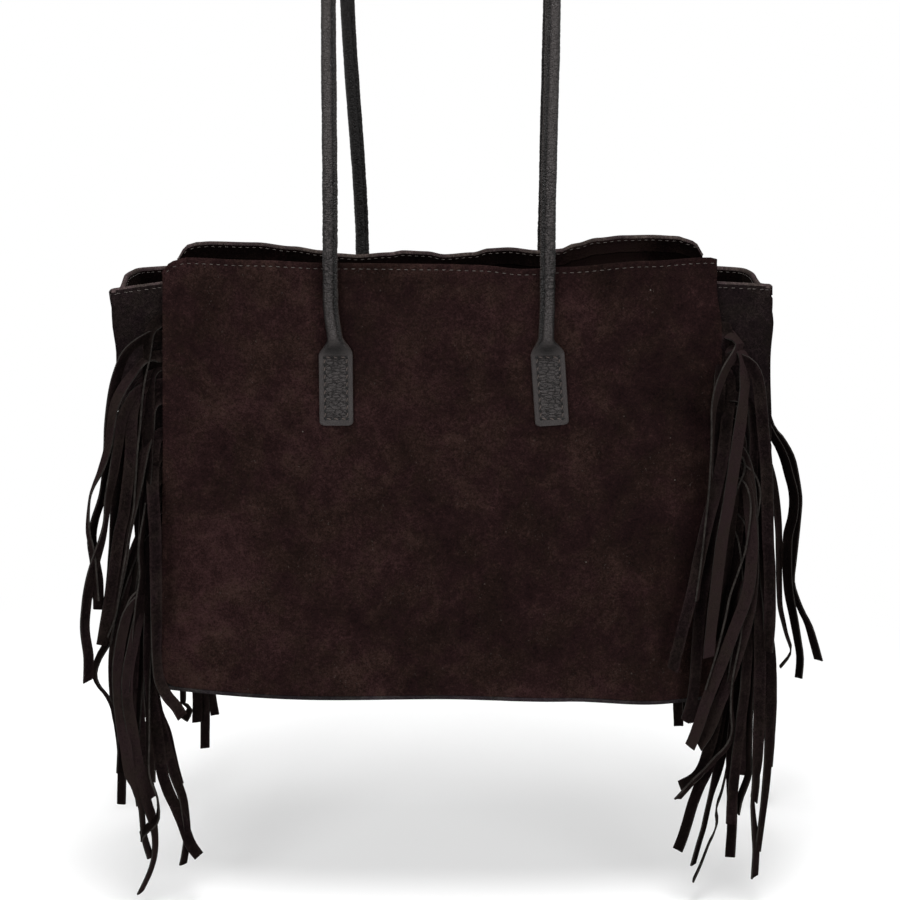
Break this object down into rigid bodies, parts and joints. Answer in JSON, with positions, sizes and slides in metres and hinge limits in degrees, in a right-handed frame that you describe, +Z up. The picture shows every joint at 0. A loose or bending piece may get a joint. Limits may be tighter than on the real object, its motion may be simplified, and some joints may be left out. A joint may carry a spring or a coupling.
{
  "type": "fringed suede tote bag",
  "caption": "Open-topped suede tote with folded-out side gussets, rolled leather handles sewn on by flat tabs, and long suede fringes in its upright seams, hanging by its handles.",
  "frame": {"origin": "the point the bag hangs from: underside of the two handle arches, midway between them", "axes": "+Z up, +X to the right seen from the front, the front panel faces -Y"},
  "size_m": [0.5519, 0.2013, 0.745],
  "materials": {
    "body_suede": "dark brown suede, mottled",
    "side_suede": "darker brown suede",
    "base_suede": "near-black suede",
    "handle_leather": "pebbled charcoal-brown leather, semi-matt",
    "fringe_suede": "dark brown suede strips with paler cut edges"
  },
  "bodies": {
    "root": {"front_panel": "body_suede", "back_panel": "body_suede", "left_gusset": "side_suede", "right_gusset": "side_suede", "base_panel": "base_suede", "front_handle": "handle_leather", "back_handle": "handle_leather", "front_left_fringe": "fringe_suede", "front_right_fringe": "fringe_suede", "back_left_fringe": "fringe_suede", "back_right_fringe": "fringe_suede"}
  },
  "joints": []
}
